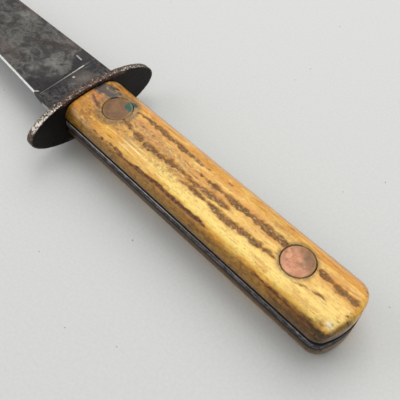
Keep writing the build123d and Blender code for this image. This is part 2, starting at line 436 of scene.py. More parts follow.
MARK_FURROWS = [
    # the far one, from beside the front rivet to half way
    Furrow({19.2: -3.6, 24: -4.1, 36: -4.0, 51.5: -4.1},
           {18.8: 0, 19.6: 0.75, 21.5: 0.5, 23.5: 0.7, 26: 0.95, 27.2: 0.6, 28.5: 1, 32: 0.9, 33: 0.7,
            34: 1, 36.5: 0.95, 37.3: 0.45, 38: 0.95, 43: 0.95, 45: 0.7, 51.5: 0}, 1.9, 0.3),
    # the middle one, in three strokes
    Furrow({19.2: 1.6, 22: 1.9, 27: 3.0, 33: 3.2, 39: 2.6, 49.5: 1.9},
           {18.8: 0, 19.5: 0.35, 21: 0.8, 23: 0.9, 24.2: 0.15, 25.2: 0.7, 26: 1, 29: 1, 30: 0.45, 30.8: 1,
            33.5: 1, 34.2: 0.6, 35: 1, 38: 0.95, 39: 0.6, 40: 1, 43: 0.85, 44: 0.5, 49: 0.4, 50: 0},
           2.2, 0.4),
    # the near one, to the rear rivet
    Furrow({46: 5.0, 52: 4.0, 58: 4.2, 63: 4.6, 81: 3.9},
           {46: 0, 48: 0.45, 53: 0.6, 58: 0.5, 60: 1, 64: 0.95, 64.8: 0.6, 65.6: 1, 69: 1, 69.6: 0.45,
            70.2: 1, 73: 0.95, 73.8: 0.65, 74.6: 1, 77: 1, 78: 0.35, 79: 0.85, 81: 0.75, 83: 0}, 2.0, 0.4),
    # a short stroke between the near and the long ones
    Furrow({47: 2.7, 50: 2.5, 64: 1.6},
           {47: 0, 49: 0.45, 52: 0.9, 55: 0.7, 56: 1, 61: 0.95, 64: 0.3, 66: 0}, 2.0, 0.35),
    # the long straight one to the rear rivet, and on behind it
    Furrow({47: -0.6, 50.7: -1.0, 81.5: -1.4},
           {47: 0, 49: 0.35, 54: 0.55, 55: 0.85, 58: 0.6, 60: 0.8, 61.5: 1, 65: 1.1, 66: 0.8, 67: 1,
            72.5: 1, 73.3: 0.6, 74: 1, 81.5: 1, 82.5: 0}, 2.0, 0.45),
    Furrow({92.5: -1.7, 105.2: -1.3},
           {92: 0, 92.8: 1, 96.4: 1, 97: 0.5, 97.6: 1, 100.6: 1, 101.2: 0.7, 102: 1, 104.4: 1, 106: 0},
           1.9, 0.4),
    # two faint strokes beside it
    Furrow({90: 5.4, 93.7: 4.3}, {89.5: 0, 91: 0.4, 93: 0.5, 94.5: 0}, 1.0, 0.1, False),
    Furrow({94.5: 3.9, 98: 3.5, 99.5: 4.0}, {94: 0, 95: 0.6, 98: 0.65, 99.5: 0}, 1.0, 0.2, False),
    # along the edge side's shoulder: a few pits, then a long stained groove
    Furrow({15.5: 11.0, 19.2: 11.3, 23.2: 11.0, 26.2: 10.7, 30: 11.1},
           {15: 0, 15.6: 0.6, 17.2: 0.5, 17.8: -0.5, 18.4: -0.5, 18.9: 0.9, 19.6: 0.8, 20: -0.5, 21: -0.5,
            21.4: 0.5, 22.2: -0.3, 23.0: 0.5, 23.6: 0.9, 24.6: 0.3, 25.4: 0.9, 28: 0.9, 30: 0}, 1.2, 0.3),
    Furrow({25: 11.9, 32: 11.6, 42: 10.6, 52: 10.7, 63: 10.3},
           {26: 0, 28: 0.6, 33: 0.8, 36: 1, 60: 0.95, 62: 0.7, 64.5: 0}, 1.7, 0.45, False),
    # a brown run beside the front rivet
    Furrow({3.8: 1.6, 6.5: 3.0, 9.8: 3.9}, {3.4: 0, 4.2: 0.6, 9.2: 0.7, 10.8: 0}, 1.8, 0.1, False),
    Furrow({28: 11.9, 36: 11.6, 48: 11.2}, {28: 0, 30: 0.6, 34: 0.4, 38: 0.7, 48: 0}, 1.0, 0.2),
    Furrow({80: 10.6, 82: 11.2, 88.6: 11.4, 97: 11.8, 102: 12.2},
           {79.5: 0, 82: 0.75, 86: 0.6, 88: 0.95, 90: 0.6, 92: 0.85, 95: 0.4, 98: 0.7, 101: 0},
           1.5, 0.3, False),
    # small marks
    Furrow({57: -5.1, 58.7: -5.4}, {56.8: 0, 57.2: 0.8, 58.4: 0.8, 58.9: 0}, 0.6, 0.25),
    Furrow({43.4: -1.0, 46.8: -0.9}, {43: 0, 44: 0.6, 46: 0.6, 47: 0}, 0.5, 0.08, False),
    Furrow({66: -7.2, 69: -7.4}, {65.8: 0, 66.6: 0.7, 68.4: 0.6, 69.2: 0}, 0.5, 0.1, False),
]

# The hidden side's furrows are its own: fewer and longer.
PILE_FURROWS = [
    Furrow({22: 3.6, 60: 2.4, 79: 3.2},
           {21: 0, 24: 0.8, 40: 1, 42: 0.4, 44: 0.9, 66: 1, 68: 0.5, 70: 0.9, 80: 0}, 1.2, 0.4),
    Furrow({24: -2.9, 52: -2.1, 82: -1.0},
           {23: 0, 27: 0.6, 38: 0.9, 39.5: 0.3, 41: 1, 62: 0.9, 64: 0.5, 82: 0.9, 83: 0}, 1.3, 0.4),
    Furrow({34: -6.2, 70: -5.4}, {33: 0, 38: 0.8, 50: 0.9, 54: 0.4, 60: 0.8, 71: 0}, 0.9, 0.3),
    Furrow({40: 9.9, 75: 10.6}, {40: 0, 44: 0.8, 70: 0.9, 76: 0}, 1.0, 0.35),
    Furrow({92: 0.8, 104.5: 1.6}, {91.5: 0, 93: 0.95, 99: 0.9, 104: 0.8, 105: 0}, 1.2, 0.35),
]

RIVET_XS = {place: sum(corners(place + "_rivet_female"))[0] / 2 for place in ("front", "rear")}
HEAD_LOW, HEAD_HIGH = corners("front_rivet_female")
HEAD_RADIUS = (HEAD_HIGH[0] - HEAD_LOW[0]) / 2
HEAD_TOP = HEAD_HIGH[2]
UNDER_HEAD = HEAD_TOP - HEAD_THICKNESS

HALF_GRIP = SCALE_HIGH[1]
CROWN_RADIUS = (HALF_GRIP**2 + CROWN_DROP**2) / (2 * CROWN_DROP)
CROWN_CENTRE_Z = SCALE_HIGH[2] - CROWN_RADIUS


def outside_butt(x, y):
    """How far a point in plan is outside the butt's arc."""
    return np.hypot(np.minimum(x - BUTT_CENTRE_X, 0), y - BUTT_MIDDLE_Y) - BUTT_RADIUS


def scale_outside(points):
    """How far points are outside a scale, as the mark side's, before its holes."""
    x, y, z = points.T
    crown = np.hypot(y, z - CROWN_CENTRE_Z) - CROWN_RADIUS
    edge_side = rounded(crown, y - HALF_GRIP, EDGE_SHOULDER)
    spine_side = rounded(crown, GRIP_SPINE_Y - y, SPINE_SHOULDER)
    body = rounded(np.maximum(edge_side, spine_side), outside_butt(x, y), BUTT_ROUND)
    return rounded(body, x - SCALE_HIGH[0], FRONT_ROUND)


def draped_box(low, high, counts):
    """A box's points and faces: a fine grid on top, walls that share its border, one bottom face."""
    across_x, across_y, levels = counts
    xs = np.linspace(low[0], high[0], across_x + 1)
    ys = np.linspace(low[1], high[1], across_y + 1)
    grid_x, grid_y = np.meshgrid(xs, ys, indexing="ij")
    top = np.column_stack([grid_x.ravel(), grid_y.ravel(), np.full(grid_x.size, high[2])])
    at = np.arange(len(top)).reshape(grid_x.shape)
    border = np.concatenate([at[:-1, 0], at[-1, :-1], at[:0:-1, -1], at[0, :0:-1]])
    heights = np.linspace(low[2], high[2], levels + 1)[:-1]
    walls = [np.column_stack([top[border, :2], np.full(len(border), z)]) for z in heights]
    rings = np.vstack([len(top) + np.arange(levels * len(border)).reshape(levels, -1), border])
    after = np.roll(rings, -1, axis=1)
    grid_faces = np.stack([at[:-1, :-1], at[1:, :-1], at[1:, 1:], at[:-1, 1:]], axis=-1)
    wall_faces = np.stack([rings[:-1], after[:-1], after[1:], rings[1:]], axis=-1)
    faces = grid_faces.reshape(-1, 4).tolist() + wall_faces.reshape(-1, 4).tolist()
    return np.concatenate([top, *walls]), [*faces, rings[0, ::-1].tolist()]


def girth(points):
    """The way round a scale from its middle line, more than Y where the shoulders turn down."""
    y = points[:, 1]
    drop = np.sqrt(np.maximum(CROWN_RADIUS**2 - y**2, 0)) + CROWN_CENTRE_Z - points[:, 2]
    return y + np.sign(y) * np.maximum(drop, 0) * ease(np.abs(y), 6, 9.5)


def furrow_amounts(points, furrows, seed):
    """How far into a gritty furrow and into a smooth one each point is, and how deep it is there.

    0.5 is the furrow's border and 0 far outside it.
    """
    behind = -points[:, 0] + 0.3 * noise(points, 1.5, seed)
    around = girth(points)
    wobble = 0.25 * noise(points, 2.5, seed + 1) + 0.18 * noise(points, 0.9, seed + 2)
    lumps = noise(points, (1.4, 2.5, 2.5), seed + 5)
    gravel = rough(points, 0.8, seed + 3, 2)
    amounts = {True: np.zeros(len(points)), False: np.zeros(len(points))}
    depth = np.zeros(len(points))
    for furrow in furrows:
        middle = np.interp(behind, list(furrow.run), list(furrow.run.values()))
        marked = np.interp(behind, list(furrow.cut), list(furrow.cut.values()))
        across = np.abs(around - middle + wobble) / (furrow.width / 2)
        uneven = (0.35 if furrow.gritty else 0.15) * lumps + 0.35 * gravel
        inside = 1.2 - across + uneven - 1.2 * (1 - marked)
        soft = np.where(marked > 0, np.clip(0.5 + 0.4 * (inside - 0.25), 0, 1), 0)
        amounts[furrow.gritty] = np.maximum(amounts[furrow.gritty], soft)
        depth = np.maximum(depth, furrow.depth * ease(inside, 0, 0.6) * (marked > 0))
    return amounts[True], amounts[False], depth * (0.75 + 0.5 * gravel)


def scale_shape(side, furrows, seed):
    """One scale's mesh points and faces, on the mark side whichever it is for."""
    margin = 0.5
    foot = TANG_HALF
    low = np.array([SCALE_LOW[0] - margin, -HALF_GRIP - margin, foot])
    high = np.array([SCALE_HIGH[0] + margin, HALF_GRIP + margin, SCALE_HIGH[2] + margin])
    points, faces = draped_box(low, high, SCALE_GRID)
    starts = np.clip(points, low + RAY_START, high - RAY_START)
    starts[:, 2] = foot
    ways = points - starts
    reach = outermost(scale_outside, starts, ways)
    surface = starts + ways * reach[:, None]
    units = ways / np.linalg.norm(ways, axis=1)[:, None]
    wear = furrow_amounts(surface, furrows, seed)[2]
    wear += 0.09 * (1 + rough(surface, (22, 6, 6), seed + 10, 2)) / 2
    wear += 0.02 * (1 + rough(surface, (7, 0.7, 0.7), seed + 20, 2)) / 2
    wear += 0.5 * ease(rough(surface, 1.4, seed + 30), 0.35, 0.75) * butt_damage(surface)
    foot_wear = FOOT_INSETS[side] * ease(surface[:, 2], foot + 1.5, foot + 0.5) * ease(surface[:, 1], -7, -1)
    wear += foot_wear * (0.8 + 0.25 * noise(surface, 4, seed + 40))
    return surface - units * wear[:, None], faces


def butt_damage(points):
    """Where the butt's upper corner is pitted."""
    x, y, _ = points.T
    return ease(outside_butt(x, y), -3.2, -1.5) * (x < BUTT_CENTRE_X)


def rivet_distance(points):
    """How far in plan a point is from the nearer rivet's axis."""
    return np.min([np.hypot(points[:, 0] - x, points[:, 1]) for x in RIVET_XS.values()], axis=0)


Place = namedtuple("Place", "points behind around height cloud patch fleck threads")


def place_on_scale(points, seed):
    """Where points are on a scale, and the noise that breaks up its marks, from broad to fine."""
    return Place(
        points,
        -points[:, 0],
        girth(points),
        points[:, 2] - TANG_HALF,
        rough(points, (14, 5, 5), seed + 50),
        rough(points, (5, 2, 2), seed + 60),
        rough(points, (1.5, 0.8, 0.8), seed + 70),
        rough(points, (9, 0.5, 0.5), seed + 80, 2),
    )


def scale_tints(place):
    """How amber, pale (partly painted highlight), orange and mottled the bone is, and where painted shade
    lies down its near side and where its far side turns under.
    """
    points, behind, around, _, cloud, patch, fleck, _ = place
    # paler bone, partly painted highlight along the near shoulder and on the butt
    pale = strongest(
        ease(behind + 6 * cloud, 26, 44) * ease(around + 0.8 * patch, 3.4, 5.6) * ease(around, 10.2, 8.6),
        0.45 * ease(behind, 50, 62) * ease(around, -0.6, 1.5) * ease(around, 9, 7),
        0.95 * ease(behind + 3 * cloud, 88, 97) * ease(around, -1, 3) * ease(around, 10.5, 9.0),
    )
    x, y, _ = points.T
    on_butt = ease(outside_butt(x, y) + 0.4 * patch, -1.6, -0.5) * (x < BUTT_CENTRE_X)
    return {
        "amber": strongest(
            0.5 * ease(around + 1.5 * cloud, -2.0, -6.5),
            0.75 * ease(behind + 4 * cloud, 22, 9),
            0.45 * ease(around + 0.8 * patch, 9.5, 12.0),
            0.2 + 0.9 * patch,
        ),
        "pale": pale * (0.8 + 0.4 * fleck) + 0.12 * patch,
        "orange": strongest(
            0.9 * spot(points, -7.4, 1.6, 3.2, 2.0),
            0.35 * ease(around + patch, -4.5, -7.0) * ease(behind + 5 * cloud, 34, 22),
            0.3 * ease(around + patch, -3.5, -6.5) * ease(behind + 5 * cloud, 84, 92),
            0.4 * ease(patch + 0.4 * cloud, 0.35, 0.75),
        ),
        "mottled": strongest(
            ease(behind, 13, 19) * ease(behind, 54, 42) * ease(around, -3, -1) * ease(around, 7.5, 5.5),
            spots(points, [(1.0, -44, 3.6, 6.5, 2.0), (0.8, -78, -4.2, 6.0, 1.8)]),
            0.9 * ease(behind, 19, 11) * ease(around, 11, 8),
        ),
        # painted shade down the near side, and round the butt's near corner
        "side": strongest(
            0.85 * ease(around + 0.9 * patch, 9.9, 12.6),
            ease(behind + 2 * patch, 84, 96) * ease(around + patch, 8.6, 10.4),
            on_butt * ease(y + patch, -1, 6),
        ),
        # painted shade where the far side turns under
        "far_side_shade": 0.45 * ease(around + 0.7 * patch, -9.0, -13.5),
    }


def scale_grime_and_shade(place, side):
    """Where the bone is darkened: painted shade at its foot beside the tang and towards the bottom of its
    sides, dirt and painted shade where it meets the guard, dirt by the front rivet, streaks and pits on the
    butt, and darker patches along the near side.
    """
    points, behind, around, height, _, patch, fleck, threads = place
    brindled = ease(behind, 83, 91) * ease(around, 9.6, 11.0) * ease(around, 17, 14)
    blot = 0.8 * spot(points, -10.5, 5.4, 2.6, 1.8) + 0.75 * spot(points, -10, 9.4, 2.8, 1.4)
    return strongest(
        # dirt and painted shade where the bone meets the guard
        0.8 * ease(behind + 0.35 * patch + 0.3 * fleck, 3.0, 2.45),
        # painted shade at the foot beside the tang, then darker towards the bottom of the sides, more on the
        # spine side
        ease(height + 0.2 * patch + 0.15 * fleck, 1.3, 0.95),
        (0.3 + 0.3 * ease(around, -9, -3)) * ease(height + 0.7 * patch + 0.3 * fleck, 3.0, 1.0),
        0.85 * brindled * ease(threads + 0.6 * fleck, -0.15, 0.35),
        0.9 * spot(points, -103.6, 10.4, 5.5, 2.8) * ease(fleck + 0.5 * patch, -0.35, 0.1),
        0.9 * butt_damage(points) * ease(fleck + 0.4 * patch, 0.15, 0.5),
        blot * ease(fleck, -0.2, 0.4),
        # darker over the near side's painted shade, and along the near side at the butt and at the front
        0.45 * side * ease(fleck + 0.5 * patch, 0.1, 0.6),
        0.6 * ease(behind + 2 * patch, 86, 98) * ease(around + 0.8 * patch + 0.4 * fleck, 10.0, 12.0),
        0.45 * ease(behind + patch, 9, 4) * ease(around + 0.8 * patch + 0.5 * fleck, 7.5, 10.5),
    )


def scale_marks(place):
    """The halos round the rivets, soot and verdigris by the front one, and bright glints."""
    points, behind, _, _, _, patch, fleck, threads = place
    rivet_reach = rivet_distance(points) + 0.5 * patch + 0.3 * fleck
    soot = spots(points, [
        (1.0, -3.8, -3.0, 2.2, 2.6),
        (1.0, -6.4, -4.2, 2.7, 2.0),
        (1.0, -7.6, -2.2, 2.5, 2.2),
        (1.0, -4.4, -0.6, 2.4, 1.5),
        (0.9, -9.6, -2.6, 1.8, 2.4),
    ])
    teal = spots(points, [
        (1.0, -16.4, -4.8, 1.7, 1.3),
        (0.7, -9.6, -4.6, 1.6, 0.9),
        (0.7, -24.5, -4.1, 1.8, 0.7),
    ])
    return {
        "halo": ease(rivet_reach - 1.2 * (behind < 30), 6.6, 4.9),
        "soot": 0.95 * ease(soot + 0.6 * fleck + 0.25 * patch, 0.22, 0.75),
        "teal": ease(teal + 0.3 * fleck, 0.3, 0.7),
        "glint": strongest(
            spot(points, -31, 7.3, 6.5, 1.6) * ease(threads, 0.1, 0.45),
            0.8 * spot(points, -30, 1.2, 5.0, 1.5) * ease(threads, 0.2, 0.5),
            spots(points, [(0.9, -103.3, 7.6, 1.0, 0.9), (0.6, -3.6, -9.5, 1.2, 1.6)]),
        ),
    }


def scale_fields(points, furrows, seed):
    """The numbers that the bone's material reads."""
    place = place_on_scale(points, seed)
    gritty, smooth, _ = furrow_amounts(points, furrows, seed)
    tints = scale_tints(place)
    grime_and_shade = scale_grime_and_shade(place, tints["side"])
    return {"furrow": gritty, "stain": smooth, "grime_and_shade": grime_and_shade, **tints, **scale_marks(place)}


def lay_bone(look, fibres, strands, blotches, granules, specks):
    """The bone's own colours and painted highlights, then its dirt and painted shade."""
    look.colour = look.mix(look["amber"], (230, 172, 66), (210, 132, 30))
    # Paler bone, partly painted highlight along the near shoulder.
    look.cover(look["pale"], (255, 222, 124))
    look.cover(blotches.ramp(0.46, 0.66, 0.6), (196, 124, 30))
    look.cover(blotches.ramp(0.44, 0.3, 0.5), (255, 222, 126))
    look.cover(fibres.ramp(0.48, 0.66, 0.5), (255, 226, 124))
    look.cover(strands.ramp(0.46, 0.3, 0.65), (160, 98, 22))
    look.cover(granules.ramp(0.52, 0.72, 0.5), (156, 104, 34))
    look.cover(look["orange"] * 0.7, (196, 96, 20))
    look.cover(look["mottled"] * granules.ramp(0.35, 0.65, 0.8), (150, 106, 46))
    # Painted shade down the near side, darkest towards the foot.
    look.cover(look["side"], look.mix(granules.ramp(0.35, 0.65), (156, 114, 42), (104, 68, 20)))
    # Painted shade where the far side turns under.
    look.cover(look["far_side_shade"], (88, 62, 20))
    look.cover(look["halo"] * granules.ramp(0.3, 0.6, 0.85, 0.35), (112, 88, 44))
    look.cover(look["mottled"].or_more(0.22) * specks.ramp(0.62, 0.74, 0.6), (126, 76, 20))
    look.cover(look["glint"], (255, 244, 196))
    # Dirt, and painted shade at the foot, down the sides and where the bone meets the guard.
    look.cover(look["grime_and_shade"], (48, 28, 10))
    look.cover(look["teal"], look.mix(granules.ramp(0.35, 0.65), (40, 50, 42), (46, 76, 66)))
    look.cover(look["soot"], look.mix(granules.ramp(0.42, 0.6), (12, 8, 10), (58, 42, 44)))


def lay_furrows(look, grit, blotches, specks):
    """The brown stains and the gritty furrows. Returns how far into a furrow a place is."""
    broken = (grit - 0.5) * 0.45
    stain = look["stain"] + broken
    look.cover(stain.ramp(0.22, 0.5, 0.5), (156, 88, 20))
    look.cover(stain.ramp(0.42, 0.7, 0.85), (84, 44, 12))
    edge = look["furrow"] + broken
    furrow = edge.ramp(0.4, 0.64)
    gravel = look.mix(grit.ramp(0.38, 0.62), (62, 38, 12), (134, 94, 48))
    gravel = look.mix(blotches.ramp(0.46, 0.7, 0.5), gravel, (150, 96, 40))
    gravel = look.mix(specks.ramp(0.56, 0.68, 0.7), gravel, (206, 170, 130))
    look.cover(edge.ramp(0.2, 0.48, 0.35), (170, 106, 38))
    look.cover(furrow * 0.88, gravel)
    return furrow


def bone_material():
    """Amber bone: long fibres, blotches, worn polish and dark gritty furrows."""
    look = Look("amber_bone")
    fibres = look.grain((10, 0.9, 0.9), 4, 0.65)
    strands = look.grain((4, 0.5, 0.5), 4, 0.7)
    blotches = look.grain((7, 3.5, 3.5), 5, 0.65, 0.5)
    granules = look.grain((1.3, 0.9, 0.9), 4, 0.75)
    grit = look.grain((0.75, 0.5, 0.5), 3, 0.75)
    specks = look.grain((1.1, 0.6, 0.6), 2)
    lay_bone(look, fibres, strands, blotches, granules, specks)
    furrow = lay_furrows(look, grit, blotches, specks)
    look.relief(fibres * 0.6 + strands * 0.5 + grit * furrow * 1.8, 0.07)
    return look.finished({
        "Roughness": strands.ramp(0.3, 0.7, 0.42, 0.22) + furrow * 0.4,
        "Specular IOR Level": 0.4,
        "Subsurface Weight": 0.08,
        "Subsurface Radius": (1.0, 0.5, 0.2),
        "Subsurface Scale": 1.0 * MM,
        "Coat Weight": 0.12,
        "Coat Roughness": 0.12,
    })


def pile_fields(points, fields):
    """The pile side's changes: painted shade down its sides, most on the near side and towards the guard."""
    x, y, z = points.T
    drop = SCALE_HIGH[2] - z
    # painted shade down the sides, mostly on the near side
    side = np.maximum(fields["side"], ease(drop, 1.5, 3.5) * (0.25 + 0.75 * ease(y, -7, 2)))
    # painted shade, more towards the guard
    grime_and_shade = np.maximum(0.8 * fields["grime_and_shade"], (0.45 + 0.4 * ease(x, -75, -50)) * side)
    return {**fields, "side": side, "grime_and_shade": grime_and_shade}


def make_scale(side, furrows, seed, material):
    """A grip scale with its counterbores and tube holes, the pile side's turned over."""
    points, faces = scale_shape(side, furrows, seed)
    mesh = make_mesh(side + "_scale", points, faces)
    top = SCALE_HIGH[2] + 1
    cutters = []
    for place, x in RIVET_XS.items():
        wide = HEAD_RADIUS + COUNTERBORE_GAPS[place]
        steps = [(wide, top), (wide, UNDER_HEAD), (TUBE_HOLE_RADIUS, UNDER_HEAD), (TUBE_HOLE_RADIUS, 0)]
        cutters.append(turned_cutter(x, steps))
    mesh = cut_away(mesh, side, cutters)
    points = mesh_points(mesh)
    fields = scale_fields(points, furrows, seed)
    if side == "pile":
        fields = pile_fields(points, fields)
        turn_over(mesh)
    finish_piece(f"{side}_scale_surface", mesh, material, f"{side}_side_scale", fields)


# ---- blade

BELLY_DROP = math.atan(EDGE_SLOPE)
BELLY_START_Y = RICASSO_EDGE_Y + EDGE_SLOPE * (BELLY_X - HEEL_X)
BELLY_CENTRE = (
    BELLY_X + BELLY_RADIUS * math.sin(BELLY_DROP),
    BELLY_START_Y - BELLY_RADIUS * math.cos(BELLY_DROP),
)
TIP_Y = BELLY_CENTRE[1] + math.sqrt(BELLY_RADIUS**2 - (BLADE_HIGH[0] - BELLY_CENTRE[0]) ** 2)


def edge_y(x):
    """The cutting edge in plan, or the ricasso's edge side behind the heel."""
    straight = RICASSO_EDGE_Y + EDGE_SLOPE * np.maximum(x - HEEL_X, 0)
    run = np.clip(x - BELLY_CENTRE[0], 0, BELLY_RADIUS)
    belly = BELLY_CENTRE[1] + np.sqrt(BELLY_RADIUS**2 - run**2)
    return np.where(x > BELLY_X, belly, straight)


def spine_y(x):
    """The spine in plan: straight, then the clip's hollow curve down to the point."""
    straight = BLADE_LOW[1] + SPINE_SLOPE * x
    clip_y = BLADE_LOW[1] + SPINE_SLOPE * CLIP_X
    share = np.clip((x - CLIP_X) / (BLADE_HIGH[0] - CLIP_X), 0, 1)
    clip = clip_y + (TIP_Y - clip_y) * share + CLIP_HOLLOW * 4 * share * (1 - share)
    return np.where(x > CLIP_X, clip, straight)


def edge_gap(x, y):
    """How far a point of the blade is from the cutting edge."""
    straight = (RICASSO_EDGE_Y + EDGE_SLOPE * (x - HEEL_X) - y) * math.cos(BELLY_DROP)
    belly = BELLY_RADIUS - np.hypot(x - BELLY_CENTRE[0], y - BELLY_CENTRE[1])
    return np.where(x > BELLY_CENTRE[0], np.minimum(straight, belly), straight)


def plunge_x(y):
    """Where the plunge starts, on its way across the blade."""
    return PLUNGE_X + PLUNGE_SHIFT * (RICASSO_EDGE_Y - y) / (RICASSO_EDGE_Y - BLADE_LOW[1])


def blend(difference, width):
    """What rounds off the crease between two surfaces that differ in height by that much."""
    return np.maximum(width - np.abs(difference), 0) ** 2 / (4 * width)


def half_thickness(x, y):
    """The blade's surface above its middle plane: flats, plunge, bevel and sharpened edge."""
    gap = np.maximum(edge_gap(x, y), 0)
    flat = STEEL_HALF - FLAT_TAPER * np.maximum(x - TAPER_START_X, 0)
    bevel_slope = (STEEL_HALF - GRIND_EDGE_HALF) / GRIND_WIDTH
    bevel = GRIND_EDGE_HALF + bevel_slope * gap
    plunge = STEEL_HALF - PLUNGE_SLOPE * (x - plunge_x(y))
    ground = np.maximum(plunge, bevel) + blend(plunge - bevel, PLUNGE_BLEND)
    height = np.minimum(ground, flat) - blend(ground - flat, CREASE_BLEND)
    sharp_slope = (GRIND_EDGE_HALF + bevel_slope * SHARPENED_WIDTH - EDGE_HALF) / SHARPENED_WIDTH
    sharp = EDGE_HALF + sharp_slope * gap
    return np.where(x > HEEL_X - 0.6, np.minimum(height, np.maximum(sharp, EDGE_HALF)), height)


def blade_stations():
    """How far along the knife each loop of points is, from just past the shoulders to the tip."""
    fine = np.linspace(SHOULDER_X, 50, 190)
    coarse = np.linspace(50, BLADE_HIGH[0] - 0.05, 150)
    return np.concatenate([fine, coarse[1:]])


def blade_loop(x):
    """The points round the blade at one station: mark side, edge, pile side, spine."""
    low = spine_y(x)
    high = edge_y(x)
    grind = np.clip(high - GRIND_WIDTH - 0.2, low + 0.05, high)
    sharp = np.clip(high - SHARPENED_WIDTH, grind, high)
    flat_part = np.linspace(low, grind, 19)
    bevel_part = np.linspace(grind, sharp, 52)
    sharp_part = np.linspace(sharp, high, 6)
    across = np.concatenate([flat_part, bevel_part[1:], sharp_part[1:]])
    lean = ease(x, 0, 8) * ease(x, 60, 20) * PLUNGE_SHIFT / (RICASSO_EDGE_Y - BLADE_LOW[1])
    along = x + lean * (RICASSO_EDGE_Y - across) - lean * 12
    along = np.clip(along, SHOULDER_X, BLADE_HIGH[0])
    return along, across


def blade_loops():
    """The loops of points round the tang and the blade, from the butt to the tip."""
    loops = [tang_loop(x) for x in tang_stations()]
    for x in blade_stations():
        along, across = blade_loop(x)
        height = half_thickness(along, across)
        top = np.column_stack([along, across, height])
        under = np.column_stack([along, across, -height])[::-1]
        loops.append(np.concatenate([top, side_wall(top[-1], under[0]), under, side_wall(under[-1], top[0])]))
    return loops


def side_wall(start, end, steps=9):
    """The points between two faces on the spine or edge side."""
    shares = np.linspace(0, 1, steps + 1)[1:-1, None]
    return start + (end - start) * shares


def tang_stations():
    """Loops along the tang, close together where the butt's outline turns."""
    turn = np.linspace(0, math.pi / 2, 40)[1:]
    butt = SCALE_LOW[0] + 6 * (1 - np.cos(turn))
    run = np.linspace(butt[-1], SHOULDER_X, 190)
    return np.concatenate([butt, run[1:]])


def tang_limits(x):
    """The tang's sides in plan at one station, where the butt's corners are rounded."""
    def reach(way, side_y):
        def outside(points):
            butt = outside_butt(points[:, 0], points[:, 1])
            return rounded(way * (points[:, 1] - side_y), butt, TANG_CORNER)

        start = np.array([[x, BUTT_MIDDLE_Y, 0.0]])
        return BUTT_MIDDLE_Y + way * outermost(outside, start, np.array([[0.0, way, 0.0]]), 14)[0]

    return reach(-1, TANG_SPINE_Y), reach(1, BLADE_HIGH[1])


def tang_sides(x):
    """The same at many stations, without the butt's corners."""
    across = BUTT_RADIUS**2 - np.minimum(x - BUTT_CENTRE_X, 0) ** 2
    bow = np.sqrt(np.maximum(across, 0))
    return np.maximum(TANG_SPINE_Y, BUTT_MIDDLE_Y - bow), np.minimum(BLADE_HIGH[1], BUTT_MIDDLE_Y + bow)


def tang_loop(x):
    """The points round the tang at one station, as many as round the blade."""
    low, high = tang_limits(x)
    share = np.linspace(0, 1, 75)
    across = low + (high - low) * share
    top = np.column_stack([np.full(75, x), across, np.full(75, TANG_HALF)])
    under = top[::-1] * (1, 1, -1)
    return np.concatenate([top, side_wall(top[-1], under[0]), under, side_wall(under[-1], top[0])])


# What the lengths in the blade's fields are shares of
AHEAD_LIMITS = (-4.0, 16.0)     # in front of the plunge's start
GAP_LIMITS = (0.0, 24.0)        # in from the cutting edge
HOOK_LIMITS = (-3.0, 3.0)       # beside the notch of bright steel at the heel
HOOK_FROM = np.array([HEEL_X - 0.1, RICASSO_EDGE_Y - 0.2])
HOOK_TO = np.array([HEEL_X - 2.4, RICASSO_EDGE_Y - 1.2])


def steel_wear(points):
    """How much rust, scratches and softened corners take off the blade and tang, inward."""
    pits = ease(rough(points, 0.9, 301), 0.3, 0.7) * ease(rough(points, 9, 305), -0.2, 0.5)
    on_side = (np.abs(points[:, 2]) < TANG_HALF - 0.05) & (points[:, 0] < SHOULDER_X)
    scale_like = rough(points, (1.6, 0.7, 0.7), 311)
    return 0.05 * pits + np.where(on_side, 0.12 * (1 + scale_like) / 2, 0)


def make_blade(material):
    """The blade and its tang as one closed mesh, with the tang's rivet holes."""
    loops = blade_loops()
    count = len(loops[0])
    points = np.concatenate(loops)
    faces = loop_faces(count, len(loops), closed=False)
    faces.append(tuple(range(count)))
    last = (len(loops) - 1) * count
    faces.append(tuple(last + k for k in reversed(range(count))))
    mesh = make_mesh("blade", points, faces)
    wear_down(mesh, points, steel_wear(points))
    hole = [(TUBE_HOLE_RADIUS, TANG_HALF + 1), (TUBE_HOLE_RADIUS, -TANG_HALF - 1)]
    cutters = [turned_cutter(x, hole) for x in RIVET_XS.values()]
    mesh = cut_away(mesh, "blade", cutters)
    finish_piece("blade_surface", mesh, material, "blade", blade_fields(mesh_points(mesh)))


